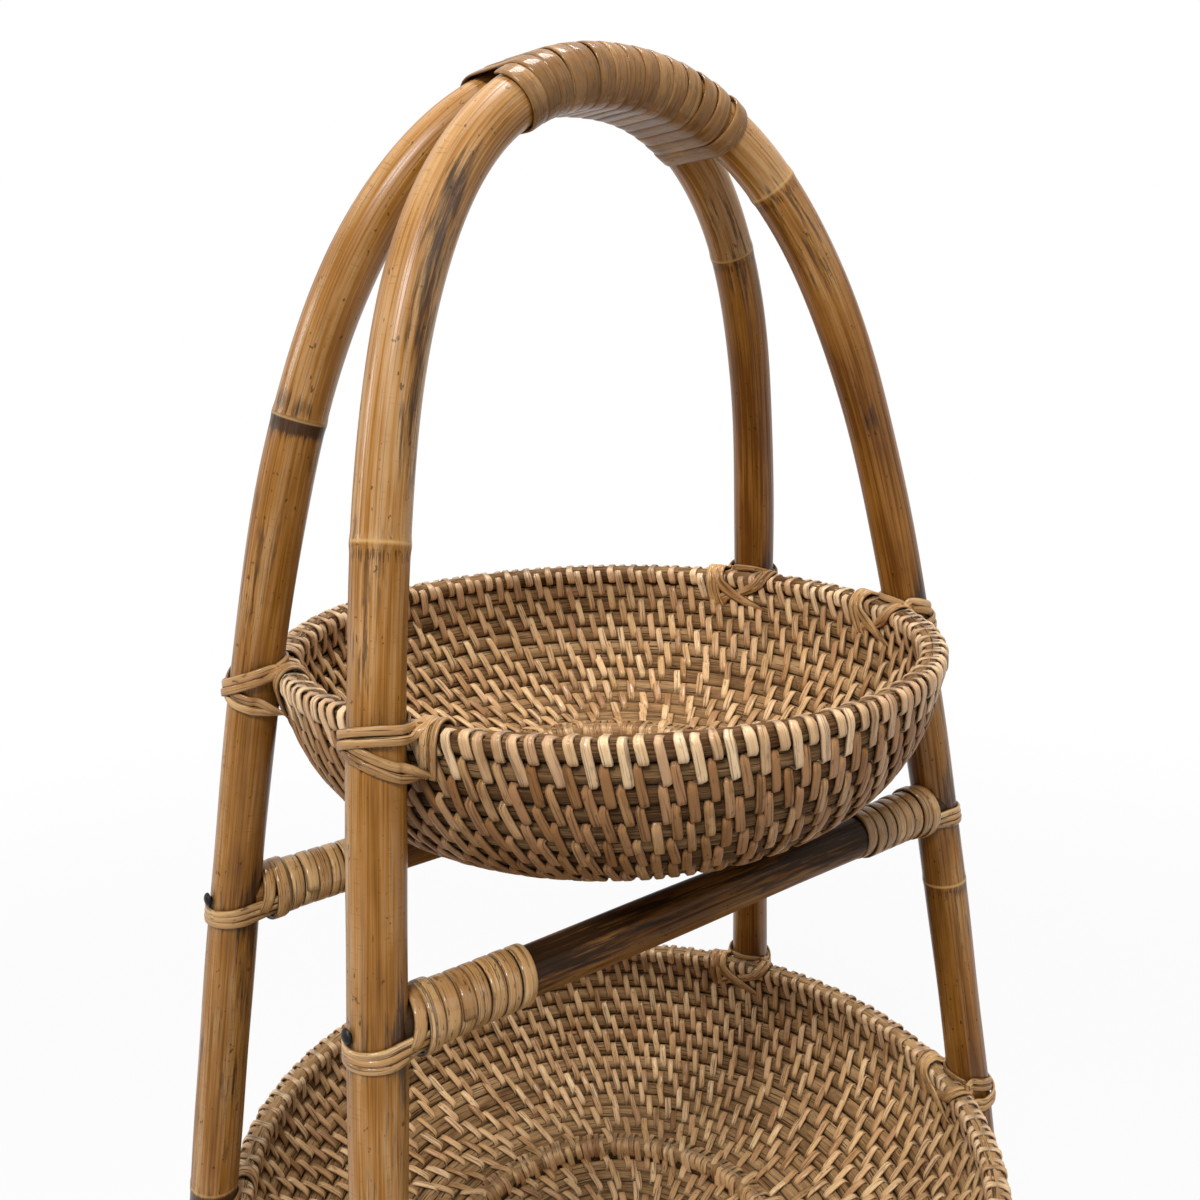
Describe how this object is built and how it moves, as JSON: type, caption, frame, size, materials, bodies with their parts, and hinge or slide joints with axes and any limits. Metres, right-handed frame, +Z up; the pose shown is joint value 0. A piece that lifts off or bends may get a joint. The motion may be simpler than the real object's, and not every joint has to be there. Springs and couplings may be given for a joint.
{
  "type": "three-tier rattan stand",
  "caption": "Free-standing stand of two bent canes that cross at a bound handle, with coiled bowls lashed between the legs in tiers that widen downwards.",
  "frame": {"origin": "on the floor, at the middle of the four feet", "axes": "+Z up, X along the arches and their crossbars, -Y to the front arch"},
  "size_m": [0.4892, 0.4668, 0.9672],
  "materials": {
    "cane": "smoked rattan pole, satin varnish",
    "dark_cane": "burnt dark rattan pole, satin varnish",
    "peel": "split rattan peel, glossy",
    "rim": "stitched rattan, satin",
    "coil": "coiled and stitched rattan, satin",
    "nail": "blackened iron"
  },
  "bodies": {
    "root": {"front_arch_cane": "cane", "rear_arch_cane": "cane", "handle_wrap": "peel", "upper_bowl_rim": "rim", "upper_bowl_wall": "coil", "upper_bowl_base": "coil", "upper_front_crossbar": "dark_cane", "upper_front_left_nail": "nail", "upper_front_left_bar_wrap": "peel", "upper_front_left_lashing": "peel", "upper_front_right_nail": "nail", "upper_front_right_bar_wrap": "peel", "upper_front_right_lashing": "peel", "upper_rear_crossbar": "dark_cane", "upper_rear_left_nail": "nail", "upper_rear_left_bar_wrap": "peel", "upper_rear_left_lashing": "peel", "upper_rear_right_nail": "nail", "upper_rear_right_bar_wrap": "peel", "upper_rear_right_lashing": "peel", "middle_bowl_rim": "rim", "middle_bowl_wall": "coil", "middle_bowl_base": "coil", "middle_front_crossbar": "dark_cane", "middle_front_left_nail": "nail", "middle_front_left_bar_wrap": "peel", "middle_front_left_lashing": "peel", "middle_front_right_nail": "nail", "middle_front_right_bar_wrap": "peel", "middle_front_right_lashing": "peel", "middle_rear_crossbar": "dark_cane", "middle_rear_left_nail": "nail", "middle_rear_left_bar_wrap": "peel", "middle_rear_left_lashing": "peel", "middle_rear_right_nail": "nail", "middle_rear_right_bar_wrap": "peel", "middle_rear_right_lashing": "peel", "lower_bowl_rim": "rim", "lower_bowl_wall": "coil", "lower_bowl_base": "coil", "lower_front_crossbar": "dark_cane", "lower_front_left_nail": "nail", "lower_front_left_bar_wrap": "peel", "lower_front_left_lashing": "peel", "lower_front_right_nail": "nail", "lower_front_right_bar_wrap": "peel", "lower_front_right_lashing": "peel", "lower_rear_crossbar": "dark_cane", "lower_rear_left_nail": "nail", "lower_rear_left_bar_wrap": "peel", "lower_rear_left_lashing": "peel", "lower_rear_right_nail": "nail", "lower_rear_right_bar_wrap": "peel", "lower_rear_right_lashing": "peel"}
  },
  "joints": []
}
